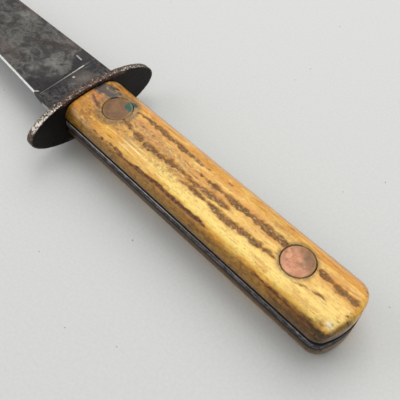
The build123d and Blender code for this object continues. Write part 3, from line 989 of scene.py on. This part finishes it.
def patina_fields(points, ahead, gap):
    """The patina's pale, dark, brown and pink patches on the blade, with painted shade on the plunge's slope
    among the dark ones.
    """
    x, y, _ = points.T
    cloud = rough(points, (9, 6, 6), 341)
    patch = rough(points, (3, 2.2, 2.2), 361)
    fleck = rough(points, (1.3, 1.0, 1.0), 371)
    ground = ease(ahead, 0.0, 0.8) * ease(gap, GRIND_WIDTH + 0.3, GRIND_WIDTH - 0.3)
    slope_reach = 2.0 + 4.5 * ease(y, -2, -9)
    # painted shade on the plunge's slope
    slope = ease(ahead, 0.2, 0.7) * ease(ahead + 1.2 * patch, slope_reach + 1.2, slope_reach)
    light = strongest(0.6 * ease(x, 46, 60) * ease(cloud, -0.1, 0.4), spots(points, [
        (1.0, 23.0, -1.6, 5.5, 5.6),
        (0.95, 26.0, 4.6, 5.0, 4.0),
        (0.75, 33, 1.5, 6.0, 4.2),
        (0.75, 42, 2.5, 9.0, 4.5),
        (0.7, 27, -11, 5.0, 2.0),
        (0.8, 49, -8, 6.0, 4.0),
    ]))
    pale = np.clip(light * (0.85 + 0.35 * fleck) + 0.3 * patch + 0.2 * cloud, 0, 1) * (1 - slope)
    low_bevel = ease(ahead + 1.4 * patch - 0.9 * np.maximum(y + 1, 0), 2.8, 0.8) * ease(ahead, 0.4, 1.0)
    streak = (y + 3.0 + (36.3 - x) * 0.5 + 0.8 * patch) / 1.5
    stained = np.exp(-(streak**2)) * ease(x, 21, 23) * ease(x, 40, 33)
    rusty = ease(patch + 0.5 * cloud, 0.25, 0.7)
    pink = (1 - ground) * ease(ahead, 1, 3) * ease(patch + 0.3 * cloud, 0.0, 0.5)
    return {
        "pale": pale,
        # dark patina, and painted shade on the plunge's slope
        "dark": np.maximum(0.85 * low_bevel, slope),
        "stained": np.maximum(0.8 * stained, 0.3 * rusty * (1 - ground)),
        "pink": pink + 0.6 * spot(points, 40, 6, 5, 2.5),
        "smudge": 0.9 * spot(points, 8.4, -3.4, 3.0, 3.4) * (0.8 + 0.6 * fleck) + 0.3 * patch,
        "shade": 0.8 * spot(points, 10.8, -8.8, 3.0, 2.6) + 0.7 * spot(points, 11.6, 2.4, 1.6, 4.5),
        # where along the grip the top edge of the tang's side gets its painted highlight
        "rubbed_and_highlit": ease(x, -1, -6) * (0.25 + 0.75 * ease(x + 8 * cloud, -66, -48)) * ease(x, -104, -100),
    }


def tang_fields(points):
    """Which of the tang can be seen between the scales and which is hidden under them, and where painted
    shade lies in front of the guard and round the butt.
    """
    x, y, z = points.T
    low, high = tang_sides(x)
    on_side = (y > high - 0.12) | (y < low + 0.12) | (x < SCALE_LOW[0] + 0.3) | (np.abs(z) < TANG_HALF - 0.15)
    tang_side = on_side & (x < SHOULDER_X)
    return {
        "tang_side": tang_side.astype(float),
        "level": within(z, (-TANG_HALF, TANG_HALF)),
        "root": strongest(
            # dark inside the guard's inlet, fading out as painted shade over the first millimetre in front of
            # the guard
            ease(x, SHOULDER_X + 1.4, SHOULDER_X + 0.2) * (x > SHOULDER_X),
            ((x < SHOULDER_X) & ~on_side).astype(float),
            # painted shade on the tang's side round the butt, towards the spine side
            0.7 * tang_side * ease(x, -98, -103) * ease(y, 8, 0),
        ),
    }


def blade_fields(points):
    """The numbers that the blade's steel reads."""
    x, y, z = points.T
    gap = edge_gap(x, y)
    ahead = x - plunge_x(y)
    along_hook = (HOOK_TO - HOOK_FROM) / np.linalg.norm(HOOK_TO - HOOK_FROM)
    beside_hook = (x - HOOK_FROM[0]) * along_hook[1] - (y - HOOK_FROM[1]) * along_hook[0]
    wall_height = half_thickness(x, np.full(len(x), RICASSO_EDGE_Y))
    on_wall = y > RICASSO_EDGE_Y - 0.3
    # Painted highlight along the lower corner of the ricasso's edge-side wall, and on one pit of its top
    # face.
    arris_highlight = on_wall * ease(z / wall_height, -0.3, -0.7) * ease(x, 12.5, 11.5) * ease(x, 1, 3)
    pit = ease(np.hypot(x - 11.0, y + 1.2), 0.5, 0.25) * (z > 0)
    return {
        "ahead": within(ahead, AHEAD_LIMITS),
        "gap": within(gap, GAP_LIMITS),
        "hook": within(beside_hook, HOOK_LIMITS),
        "front": (x > HEEL_X - 0.8).astype(float),
        "heel": (x > HEEL_X - 2.6).astype(float),
        "arris_highlight": np.maximum(arris_highlight, 0.8 * pit),
        **patina_fields(points, ahead, gap),
        **tang_fields(points),
    }


def lay_patina(look, clouds, mottle, fine, tints, ahead):
    """The blade's clouded patina, and the darker steel of the ricasso."""
    look.colour = look.mix(clouds.ramp(0.38, 0.62), (64, 63, 63), (108, 105, 101))
    cloudy = look["pale"] + (clouds * 0.9 + mottle * 0.7 - 0.8)
    look.cover(cloudy.ramp(0.3, 1.1, 0.9), (136, 135, 130))
    look.cover(mottle.ramp(0.48, 0.68, 0.7), (56, 53, 52))
    look.cover(mottle.ramp(0.42, 0.3, 0.3), (146, 143, 138))
    look.cover(look["pink"] * 0.55, (112, 90, 86))
    # Dark patina, and painted shade on the plunge's slope.
    look.cover(look["dark"] * 0.85, (44, 43, 46))
    old = look.mix(mottle.ramp(0.38, 0.6), (72, 70, 69), (28, 27, 29))
    for share, colour in [
        (tints.ramp(0.55, 0.72, 0.4), (56, 64, 78)),
        (tints.ramp(0.44, 0.3, 0.5), (92, 76, 66)),
        (clouds.ramp(0.56, 0.68, 0.5), (116, 112, 108)),
        (fine.ramp(0.6, 0.72, 0.5), (140, 138, 134)),
        (ahead.ramp(-3.5, -0.5, 0.5), (34, 33, 34)),
        (look["shade"], (40, 38, 44)),
        (look["smudge"] * mottle.ramp(0.36, 0.6, 0.95, 0.3), (122, 112, 104)),
    ]:
        old = look.mix(share, old, colour)
    look.cover(ahead.ramp(-0.3, 0.3, 0.0, 1.0) * 0.95, old)


def lay_lines(look, scratches, mottle, fine, ahead, gap):
    """Stains and scratches, the grind's upper line and a painted highlight along the plunge's crease."""
    look.cover(look["stained"], (60, 50, 48))
    look.cover(scratches.ramp(0.62, 0.72, 0.25), (170, 170, 170))
    look.cover(fine.ramp(0.62, 0.74, 0.4), (40, 36, 35))
    grind_line = gap.band(GRIND_WIDTH - 0.25, GRIND_WIDTH + 0.1, 0.15) * ahead.band(3.2, 5.8, 0.5)
    look.cover(grind_line * 0.7, (186, 184, 180))
    # Painted highlight along the plunge's crease.
    plunge_highlight = ahead.band(0.1, 0.45, 0.15) * gap.ramp(19.5, 18.5) * gap.ramp(0.35, 0.6)
    plunge_highlight = plunge_highlight * gap.ramp(4, 14, 0.95, 0.45) * mottle.ramp(0.36, 0.5, 1.0, 0.3)
    look.cover(plunge_highlight, (184, 182, 178))


def lay_tang(look, mottle, tints):
    """The scaly side of the tang with a painted highlight along its top edge and painted shade along its
    foot, and what the scales hide.
    """
    scaly = look.grain((2.4, 1.2, 1.2), 4, 0.8)
    level = look["level"]
    # Painted highlight along the top edge of the tang's side, strongest over the grip's front half.
    top_arris_highlight = level.band(0.83, 0.95, 0.02) * look["rubbed_and_highlit"] * mottle.ramp(0.36, 0.5, 1.0, 0.45)
    rusty = look.mix(scaly.ramp(0.44, 0.56), (12, 11, 11), (96, 86, 92))
    rusty = look.mix(tints.ramp(0.48, 0.58, 0.8), rusty, (26, 32, 28))
    rusty = look.mix(mottle.ramp(0.54, 0.64, 0.7), rusty, (150, 142, 146))
    rusty = look.mix(top_arris_highlight, rusty, (222, 218, 214))
    # Painted shade along the lower part of the tang's side.
    rusty = look.mix(level.ramp(0.34, 0.2, 0.9), rusty, (16, 13, 11))
    look.cover(look["tang_side"], rusty)
    # Dark where the scales and the guard hide the steel, and painted shade in front of the guard and round
    # the butt.
    look.cover(look["root"], (30, 26, 25))


def blade_material():
    """Old carbon steel: grey and brown patina, stains, scratches and a bright edge, with painted highlights
    and painted shade.
    """
    look = Look("patinated_steel")
    clouds = look.grain((5, 3.5, 3.5), 6, 0.7, 0.8)
    mottle = look.grain((1.6, 1.2, 1.2), 5, 0.75)
    fine = look.grain((0.55, 0.45, 0.5), 3, 0.8)
    tints = look.grain((2.6, 2.0, 2.0), 3, 0.6)
    scratches = look.grain((0.25, 6, 6), 3)
    ahead = look.length("ahead", AHEAD_LIMITS)
    gap = look.length("gap", GAP_LIMITS)
    hook = look.length("hook", HOOK_LIMITS)
    lay_patina(look, clouds, mottle, fine, tints, ahead)
    lay_lines(look, scratches, mottle, fine, ahead, gap)
    lay_tang(look, mottle, tints)
    honed = gap.ramp(BRIGHT_WIDTH + 0.12, BRIGHT_WIDTH - 0.1) * look["front"]
    notch = hook.band(-0.25, 0.25, 0.18) * gap.ramp(1.4, 1.2) * look["heel"]
    # Honed edge and heel notch of bright steel, with painted highlight on the ricasso's lower corner and one
    # pit.
    look.cover(honed.or_more(notch).or_more(look["arris_highlight"]), (205, 204, 200))
    covered = look["tang_side"].or_more(look["root"])
    look.relief(mottle * 0.6 + fine * 0.5, 0.035)
    return look.finished({
        "Metallic": covered.ramp(0, 1, 0.0, 0.8),
        "Roughness": mottle.ramp(0.3, 0.7, 0.55, 0.34) + covered * 0.35,
    })


# ---- guard

GUARD_MIDDLE_Y = (GUARD_LOW[1] + GUARD_HIGH[1]) / 2
GUARD_HALVES = np.array([(GUARD_HIGH[1] - GUARD_LOW[1]) / 2, GUARD_HIGH[2]])


def guard_loops(turns=480, rings=26):
    """Loops round the guard, from its slot out over the back, the rim and in over the front."""
    angles = np.linspace(0, 2 * math.pi, turns, endpoint=False)
    way = np.column_stack([np.cos(angles), np.sin(angles)])
    oval = (GUARD_MIDDLE_Y, 0) + way * GUARD_HALVES
    gap = SLOT_CLEARANCE
    slot = rectangle_points(oval, TANG_SPINE_Y - gap, BLADE_HIGH[1] + gap, SLOT_HALF_HEIGHT)
    inlet = rectangle_points(oval, BLADE_LOW[1] - gap, RICASSO_EDGE_Y + gap, INLET_HALF_HEIGHT)
    inward = -way / GUARD_HALVES
    inward /= np.linalg.norm(inward, axis=1)[:, None]

    def loop(outline, x):
        return np.column_stack([np.full(turns, x), outline])

    back = GUARD_LOW[0]
    loops = [loop(slot, SHOULDER_X), loop(slot, (SHOULDER_X + back) / 2)]
    face_edge = oval + inward * GUARD_ROUND
    for share in np.linspace(0, 1, rings):
        loops.append(loop(slot + (face_edge - slot) * share, back))
    for turn in np.linspace(0, math.pi, 13)[1:-1]:
        x = back + GUARD_ROUND * (1 - math.cos(turn))
        if turn > math.pi / 2:
            x = GUARD_HIGH[0] - GUARD_ROUND * (1 + math.cos(turn))
        loops.append(loop(oval + inward * GUARD_ROUND * (1 - math.sin(turn)), x))
    for share in np.linspace(1, 0, rings):
        loops.append(loop(inlet + (face_edge - inlet) * share, GUARD_HIGH[0]))
    loops.append(loop(inlet, -INLET_DEPTH))
    return loops


def rectangle_points(outline, low_y, high_y, half_height):
    """The points of a rectangle that outline's points look at, its corners among them."""
    middle = np.array([(low_y + high_y) / 2, 0.0])
    half = np.array([(high_y - low_y) / 2, half_height])
    ways = outline - middle
    found = middle + ways / np.max(np.abs(ways) / half, axis=1)[:, None]
    for corner in itertools.product((low_y, high_y), (-half_height, half_height)):
        nearest = np.argmin(np.linalg.norm(found - corner, axis=1))
        found[nearest] = corner
    return found


def make_guard(material):
    """The guard's oval plate with its slot, its rim and faces pitted by rust."""
    loops = guard_loops()
    points = np.concatenate(loops)
    faces = [face[::-1] for face in loop_faces(len(loops[0]), len(loops), closed=True)]
    mesh = make_mesh("guard", points, faces)
    pits = ease(rough(points, 0.8, 401), 0.05, 0.6)
    dents = (1 + rough(points, 2.6, 411, 2)) / 2
    wear_down(mesh, points, ease(outwards(points), 0.5, 0.85) * (0.09 * pits + 0.08 * dents))
    finish_piece("guard_surface", mesh, material, "guard", guard_fields(points))


def outwards(points):
    """How far out on the guard's oval a point is: 0 in the middle, 1 on the rim."""
    return np.linalg.norm((points[:, 1:] - (GUARD_MIDDLE_Y, 0)) / GUARD_HALVES, axis=1)


def guard_fields(points):
    """The numbers that the guard's steel reads."""
    y = points[:, 1]
    out = outwards(points)
    rim = np.maximum(ease(out, 0.975, 0.99), 0.85 * ease(out, 0.87, 0.9) * ease(np.abs(y), 14, 11))
    # The rim's painted highlight: strongest towards the edge-side end and the back face, none at the far end.
    along = y + 2.5 * noise(points, 3, 421)
    bright = np.maximum(0.2 + 0.8 * ease(along, 9, 19), 0.4 * ease(along, -8, -13))
    bright *= ease(along, -23, -19) * ease(y, GUARD_HIGH[1] - 0.3, GUARD_HIGH[1] - 3)
    bright *= 0.35 + 0.65 * ease(points[:, 0], GUARD_HIGH[0] - 0.8, GUARD_LOW[0] + 0.6)
    return {
        "rim": rim,
        "bright": bright * rim,
        "rust": np.maximum(ease(rough(points, 1.6, 431), -0.25, 0.3) * rim, 0.35 * ease(y, 15, 23)),
    }


def guard_material():
    """Blackened steel plate with a rusty rim, speckled with worn bright steel, the speckles thickened by
    painted highlight.
    """
    look = Look("rusted_guard_steel")
    mottle = look.grain((1.5, 1.5, 1.5), 5, 0.7)
    fine = look.grain((0.4, 0.4, 0.4), 3, 0.7)
    speckle = look.grain((0.8, 0.55, 0.6), 3, 0.8)
    rim = look["rim"]
    look.colour = look.mix(mottle.ramp(0.35, 0.7), (18, 17, 17), (40, 34, 30))
    look.cover(rim, look.mix(mottle.ramp(0.38, 0.62), (58, 46, 42), (104, 78, 64)))
    # Worn bright speckles on the rim, more of them where the painted highlight lies.
    rubbed_and_highlit = (speckle + look["bright"] * 0.22).ramp(0.6, 0.7)
    look.cover(rubbed_and_highlit * rim, (236, 228, 216))
    look.cover(fine.ramp(0.52, 0.62, 0.75), (36, 28, 25))
    look.relief(mottle + fine * 0.6, 0.06)
    return look.finished({
        "Metallic": look["rust"].ramp(0, 1, 0.3, 0.7),
        "Roughness": mottle.ramp(0.3, 0.7, 0.62, 0.38),
    })


# ---- rivets


def head_profile():
    """A rivet head's outline from its middle to its underside: slightly domed, its rim eased."""
    flat_radius = HEAD_RADIUS - HEAD_ROUND
    profile = [(0.0, HEAD_TOP)]
    for radius in np.linspace(0, flat_radius, 22)[1:]:
        profile.append((radius, HEAD_TOP - 0.12 * (radius / HEAD_RADIUS) ** 2))
    rim_top = profile[-1][1] - HEAD_ROUND
    for turn in np.linspace(0, math.pi / 2, 6)[1:]:
        profile.append((flat_radius + HEAD_ROUND * math.sin(turn), rim_top + HEAD_ROUND * math.cos(turn)))
    profile += [(HEAD_RADIUS, UNDER_HEAD + 0.4), (HEAD_RADIUS, UNDER_HEAD)]
    return profile


def make_rivet(place, half, material, seed):
    """One half of a rivet: the female's tube or the male's shank under a dented head."""
    node = f"{place}_rivet_{half}"
    low, high = corners(node)
    if half == "female":
        stem = [(TUBE_RADIUS, UNDER_HEAD), (TUBE_RADIUS, low[2]), (TUBE_BORE_RADIUS, low[2])]
        stem += [(TUBE_BORE_RADIUS, UNDER_HEAD), (0, UNDER_HEAD)]
    else:
        stem = [(SHANK_RADIUS, UNDER_HEAD), (SHANK_RADIUS, -high[2] + SHANK_BEVEL)]
        stem += [(SHANK_RADIUS - SHANK_BEVEL, -high[2]), (0, -high[2])]
    points, faces = lathe(head_profile() + stem, 96, (low[0] + high[0]) / 2)
    on_head = points[:, 2] > UNDER_HEAD + 0.1
    dents = 0.06 * (1 + rough(points, 2.2, seed)) / 2 + 0.03 * ease(rough(points, 0.7, seed + 5), 0.2, 0.7)
    points[:, 2] -= dents * on_head
    mesh = make_mesh(node, points, faces)
    fields = rivet_fields(points, place, half, seed)
    if half == "male":
        turn_over(mesh)
    finish_piece(node + "_surface", mesh, material, node, fields)


def rivet_fields(points, place, half, seed):
    """The numbers that the copper reads."""
    x = points[:, 0] - RIVET_XS[place]
    y = points[:, 1]
    out = np.hypot(x, y)
    rim = ease(out + 0.2 * noise(points, 1.0, seed + 10), HEAD_RADIUS - 0.8, HEAD_RADIUS - 0.3)
    patch = rough(points, 2.0, seed + 20)
    fleck = rough(points, 0.8, seed + 30)
    if place == "front":
        corner = spot(points, RIVET_XS["front"] - 2.3, -3.7, 2.6, 2.4)
        green = ease(corner + 0.18 * fleck, 0.35, 0.6)
        brown = 1.0 + 0.3 * patch
    else:
        green = 0.2 * ease(patch, 0.1, 0.6)
        brown = 0.85 * ease(-y - 0.6 * x + 1.0 * patch, -1.5, 4.5)
    if half == "male":
        green = 0.4 * ease(patch, 0.0, 0.5)
    return {"rim": rim, "verdigris": green, "brown": brown, "grubby": ease(fleck + 0.5 * patch, 0.1, 0.6)}


def copper_material():
    """Old copper: pink where rubbed, olive and brown where tarnished, green in one corner."""
    look = Look("tarnished_copper")
    mottle = look.grain((1.6, 1.6, 1.6), 5, 0.7, 0.5)
    fine = look.grain((0.4, 0.4, 0.4), 3, 0.7)
    lines = look.grain((2.5, 0.18, 0.5), 2)
    blend = mottle.ramp(0.35, 0.65)
    look.colour = look.mix(blend, (190, 138, 106), (176, 120, 90))
    look.cover(look["brown"], look.mix(blend, (104, 82, 46), (112, 76, 54)))
    look.cover(mottle.ramp(0.56, 0.75, 0.4), (120, 100, 66))
    look.cover(look["grubby"] * 0.3, (84, 62, 58))
    look.cover(look["verdigris"], look.mix(fine.ramp(0.35, 0.65), (30, 66, 56), (44, 86, 76)))
    look.cover(fine.ramp(0.6, 0.75, 0.5), (84, 56, 40))
    look.cover(look["rim"] * 0.4, (150, 116, 84))
    look.relief(lines * 0.5 + fine * 0.5, 0.03)
    return look.finished({"Metallic": 0.5, "Roughness": mottle.ramp(0.3, 0.7, 0.55, 0.36)})


# ---- floor, lights and camera

FLOOR_HALF = 1500.0
CAMERA_AT = Vector((-119.0, 71.76, 133.59)) * MM
CAMERA_AIM = Vector((-52.29, 1.14, 0.0)) * MM
CAMERA_ROLL = math.radians(3.57)
CAMERA_LENS = 51.42
SENSOR = 36.0


def aimed(location, target):
    """The rotation that turns a lamp or camera at location towards target."""
    return (target - location).to_track_quat("-Z", "Y").to_matrix().to_4x4()


def make_camera():
    data = bpy.data.cameras.new("camera")
    data.lens = CAMERA_LENS
    data.sensor_width = SENSOR
    data.clip_start = 0.01
    turn = aimed(CAMERA_AT, CAMERA_AIM) @ Matrix.Rotation(CAMERA_ROLL, 4, "Z")
    bpy.context.scene.camera = put_at("camera", data, CAMERA_AT, turn)


def make_floor():
    """The surface that the knife lies on, touched by the guard's rim and the butt."""
    butt_low = corners("pile_side_scale")[0]
    tilt = math.atan2(butt_low[2] - GUARD_LOW[2], GUARD_LOW[0] - butt_low[0])
    points = FLOOR_HALF * np.array([(-1, -1, 0), (1, -1, 0), (1, 1, 0), (-1, 1, 0)])
    mesh = make_mesh("floor", points, [(0, 1, 2, 3)])
    mesh.materials.append(floor_material())
    floor = add_object("floor", mesh)
    floor.location = Vector((GUARD_LOW[0], 0, GUARD_LOW[2])) * MM
    floor.rotation_euler = (0, tilt, 0)


def floor_material():
    """Smooth pale laminate with a faint grain and a few dark specks."""
    look = Look("pale_floor")
    fine = look.grain((0.9, 0.9, 0.9), 3)
    specks = look.grain((2.2, 2.2, 2.2), 0)
    look.colour = look.mix(fine.ramp(0.3, 0.7), (205, 206, 205), (210, 211, 210))
    look.cover(specks.ramp(0.87, 0.88, 0.6), (120, 110, 100))
    return look.finished({"Roughness": 0.6})


def put_at(name, data, place, rotation):
    """An object of the scene's own at a place, turned."""
    thing = add_object(name, data)
    thing.matrix_world = Matrix.Translation(place) @ rotation
    return thing


def add_lamp(name, place, target, size, energy, colour):
    data = bpy.data.lights.new(name, "AREA")
    data.size = size
    data.energy = energy
    data.color = colour
    put_at(name, data, place, aimed(place, target))


def make_lights():
    handle = Vector((-50, 0, 0)) * MM
    add_lamp("key", Vector((0.2, -0.55, 0.9)), handle, 1.1, 8.0, (1.0, 0.99, 0.96))
    add_lamp("fill", Vector((0.75, 0.55, 0.55)), handle, 0.8, 3.0, (0.98, 0.99, 1.0))
    world = bpy.data.worlds.new("room")
    world.use_nodes = True
    background = world.node_tree.nodes["Background"]
    background.inputs["Color"].default_value = (0.88, 0.885, 0.87, 1.0)
    background.inputs["Strength"].default_value = 0.62
    bpy.context.scene.world = world
    bpy.context.scene.view_settings.view_transform = "Standard"


make_camera()
make_floor()
make_lights()
bone = bone_material()
make_scale("mark", MARK_FURROWS, 11, bone)
make_scale("pile", PILE_FURROWS, 211, bone)
make_blade(blade_material())
make_guard(guard_material())
copper = copper_material()
for rivet_place, seeds in {"front": (501, 521), "rear": (541, 561)}.items():
    make_rivet(rivet_place, "female", copper, seeds[0])
    make_rivet(rivet_place, "male", copper, seeds[1])
